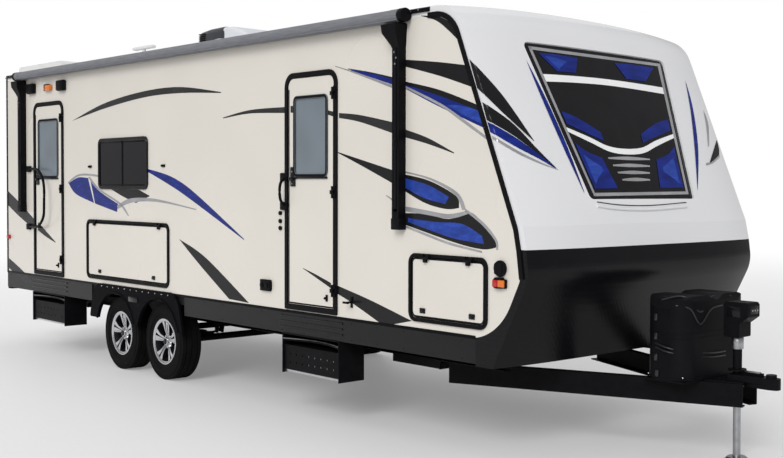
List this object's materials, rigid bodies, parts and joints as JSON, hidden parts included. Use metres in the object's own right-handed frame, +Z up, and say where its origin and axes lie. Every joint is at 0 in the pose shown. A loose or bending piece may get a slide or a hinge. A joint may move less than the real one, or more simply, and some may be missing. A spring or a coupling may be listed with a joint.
{
  "type": "travel caravan",
  "caption": "Long towed caravan with a tandem axle, hinged entry doors and luggage hatches, fold-out steps, corner steadies and a tongue jack.",
  "frame": {"origin": "on the ground below the middle of the vehicle's length, midway between the side walls", "axes": "+X forwards to the tow coupling, +Y to the left side, +Z up"},
  "size_m": [9.417, 2.6042, 3.345],
  "materials": {
    "white_panel": "satin",
    "white_cap": "gloss",
    "roof_membrane": "matte",
    "black_plastic": "satin",
    "black_gloss": "gloss",
    "black_steel": "satin",
    "grey_metal": "satin",
    "jack_steel": "zinc plated",
    "dark_glass": "tinted",
    "door_glass": "frosted",
    "tyre_rubber": "matte",
    "alloy": "machined",
    "floor_wood": "laminated",
    "awning_grey": "matte",
    "lamp_lens": "gloss"
  },
  "bodies": {
    "caravan": {"air_cooler": "grey_metal", "awning_arms": "black_steel", "awning_roller": "awning_grey", "axle_front": "black_steel", "axle_rear": "black_steel", "chin_apron": "black_gloss", "coupler": "black_steel", "cross_members": "black_steel", "door_frames": "black_plastic", "edge_moulding": "black_plastic", "floor": "floor_wood", "gas_cover": "black_plastic", "grab_handles": "black_plastic", "hatch_frames": "black_plastic", "jack_post": "black_plastic", "leaf_springs": "black_steel", "main_rails": "black_steel", "nose_cap": "white_cap", "nose_panel": "black_gloss", "rear_bumper": "black_steel", "rear_wall": "white_panel", "roof": "roof_membrane", "roof_vents": "roof_membrane", "side_lamps": "lamp_lens", "side_wall_left": "white_panel", "side_wall_right": "white_panel", "side_windows": "dark_glass", "skirt": "black_plastic", "steady_channels": "black_steel", "step_frames": "black_steel", "tongue_frame": "black_steel", "wheel_fenders": "black_plastic"},
    "entry_door_front": {"entry_door_front": "white_panel", "entry_door_front_pane": "door_glass"},
    "entry_door_rear": {"entry_door_rear": "white_panel", "entry_door_rear_pane": "door_glass"},
    "hatch_front_right": {"hatch_front_right": "white_panel"},
    "hatch_rear_right": {"hatch_rear_right": "white_panel"},
    "hatch_front_left": {"hatch_front_left": "white_panel"},
    "jack_leg": {"jack_leg": "jack_steel"},
    "step_tread_front": {"step_tread_front": "black_steel"},
    "step_tread_rear": {"step_tread_rear": "black_steel"},
    "steady_leg_rear_right": {"steady_leg_rear_right": "black_steel"},
    "steady_leg_rear_left": {"steady_leg_rear_left": "black_steel"},
    "steady_leg_front_right": {"steady_leg_front_right": "black_steel"},
    "steady_leg_front_left": {"steady_leg_front_left": "black_steel"},
    "wheel_front_right": {"tyre_front_right": "tyre_rubber", "wheel_front_right": "alloy"},
    "wheel_front_left": {"tyre_front_left": "tyre_rubber", "wheel_front_left": "alloy"},
    "wheel_rear_right": {"tyre_rear_right": "tyre_rubber", "wheel_rear_right": "alloy"},
    "wheel_rear_left": {"tyre_rear_left": "tyre_rubber", "wheel_rear_left": "alloy"}
  },
  "joints": [
    {"name": "entry_door_front_swing", "type": "hinge", "parent": "caravan", "child": "entry_door_front", "pos_m": [1.6535, -1.2422, 1.719], "axis": [0, 0, 1], "range_deg": [0, 130]},
    {"name": "entry_door_rear_swing", "type": "hinge", "parent": "caravan", "child": "entry_door_rear", "pos_m": [-3.0875, -1.2422, 1.719], "axis": [0, 0, 1], "range_deg": [0, 110]},
    {"name": "hatch_front_right_lift", "type": "hinge", "parent": "caravan", "child": "hatch_front_right", "pos_m": [2.9195, -1.2422, 1.284], "axis": [-1, 0, 0], "range_deg": [0, 150]},
    {"name": "hatch_rear_right_lift", "type": "hinge", "parent": "caravan", "child": "hatch_rear_right", "pos_m": [-1.671, -1.2422, 1.396], "axis": [-1, 0, 0], "range_deg": [0, 150]},
    {"name": "hatch_front_left_lift", "type": "hinge", "parent": "caravan", "child": "hatch_front_left", "pos_m": [2.9195, 1.2422, 1.284], "axis": [1, 0, 0], "range_deg": [0, 150]},
    {"name": "jack_slide", "type": "slide", "parent": "caravan", "child": "jack_leg", "axis": [0, 0, 1], "range_m": [0, 0.3]},
    {"name": "step_tread_front_fold", "type": "hinge", "parent": "caravan", "child": "step_tread_front", "pos_m": [1.353, -1.21, 0.333], "axis": [1, 0, 0], "range_deg": [0, 90]},
    {"name": "step_tread_rear_fold", "type": "hinge", "parent": "caravan", "child": "step_tread_rear", "pos_m": [-3.417, -1.21, 0.333], "axis": [1, 0, 0], "range_deg": [0, 90]},
    {"name": "steady_leg_rear_right_drop", "type": "hinge", "parent": "caravan", "child": "steady_leg_rear_right", "pos_m": [-3.8605, -0.8, 0.4765], "axis": [0, 1, 0], "range_deg": [0, 62]},
    {"name": "steady_leg_rear_left_drop", "type": "hinge", "parent": "caravan", "child": "steady_leg_rear_left", "pos_m": [-3.8605, 0.8, 0.4765], "axis": [0, 1, 0], "range_deg": [0, 62]},
    {"name": "steady_leg_front_right_drop", "type": "hinge", "parent": "caravan", "child": "steady_leg_front_right", "pos_m": [1.8935, -0.8, 0.4765], "axis": [0, 1, 0], "range_deg": [0, 62]},
    {"name": "steady_leg_front_left_drop", "type": "hinge", "parent": "caravan", "child": "steady_leg_front_left", "pos_m": [1.8935, 0.8, 0.4765], "axis": [0, 1, 0], "range_deg": [0, 62]},
    {"name": "wheel_front_right_spin", "type": "hinge", "parent": "caravan", "child": "wheel_front_right", "pos_m": [-1.0275, -1.088, 0.344], "axis": [0, 1, 0], "continuous": true},
    {"name": "wheel_front_left_spin", "type": "hinge", "parent": "caravan", "child": "wheel_front_left", "pos_m": [-1.0275, 1.088, 0.344], "axis": [0, 1, 0], "continuous": true},
    {"name": "wheel_rear_right_spin", "type": "hinge", "parent": "caravan", "child": "wheel_rear_right", "pos_m": [-1.8655, -1.088, 0.344], "axis": [0, 1, 0], "continuous": true},
    {"name": "wheel_rear_left_spin", "type": "hinge", "parent": "caravan", "child": "wheel_rear_left", "pos_m": [-1.8655, 1.088, 0.344], "axis": [0, 1, 0], "continuous": true}
  ]
}
